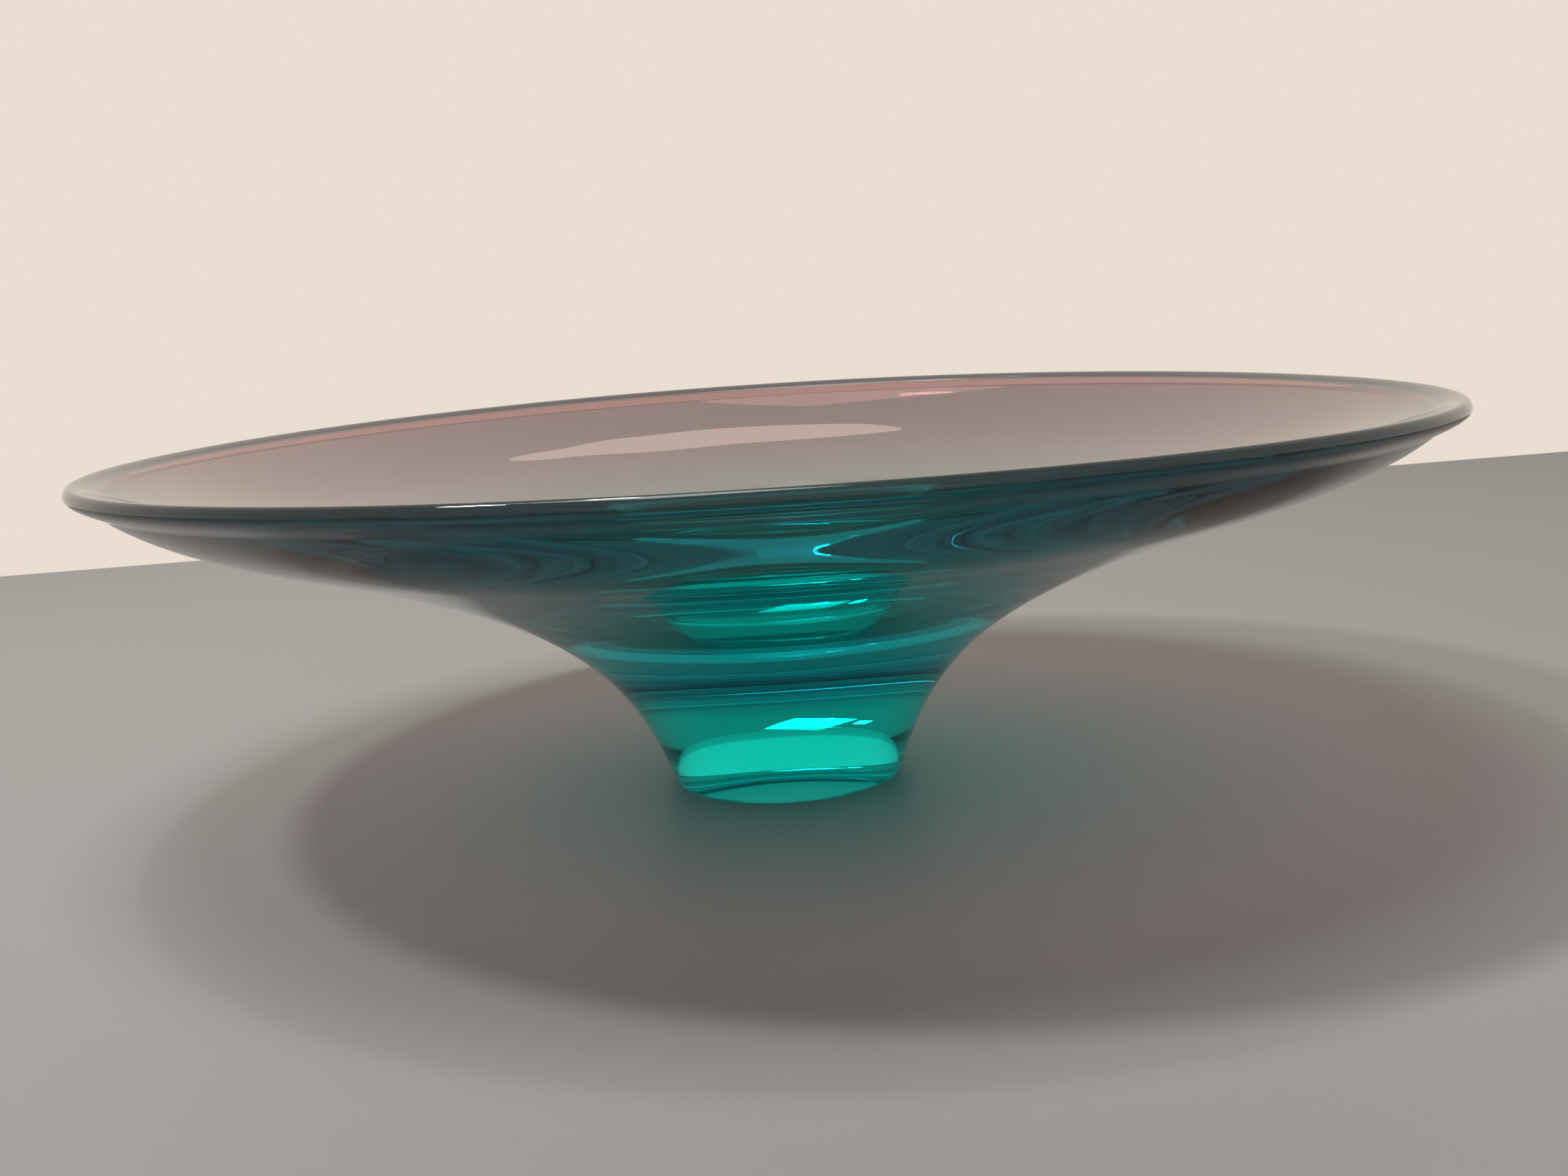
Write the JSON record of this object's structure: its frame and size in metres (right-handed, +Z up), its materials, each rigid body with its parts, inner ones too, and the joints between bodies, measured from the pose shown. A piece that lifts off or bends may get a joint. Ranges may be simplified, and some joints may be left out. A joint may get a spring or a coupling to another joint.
{
  "type": "art glass bowl",
  "caption": "Wide shallow dish of cased teal and amethyst glass with a rounded lip, carried on a solid flared trumpet foot with a hollow ground base.",
  "frame": {"origin": "centre of the ground ring that the bowl stands on, at table level", "axes": "+Z up the axis of the bowl; X and Y are alike, since the bowl is round"},
  "size_m": [0.3559, 0.356, 0.0996],
  "materials": {
    "foot_glass": "fire-polished clear teal glass, solid, with a ground ring underneath",
    "casing_glass": "fire-polished clear teal glass",
    "lining_glass": "fire-polished clear pale amethyst glass",
    "lip_glass": "fire-polished clear grey glass bead"
  },
  "bodies": {
    "root": {"foot": "foot_glass", "bowl_casing": "casing_glass", "inner_lining": "lining_glass", "lip_wrap": "lip_glass"}
  },
  "joints": []
}
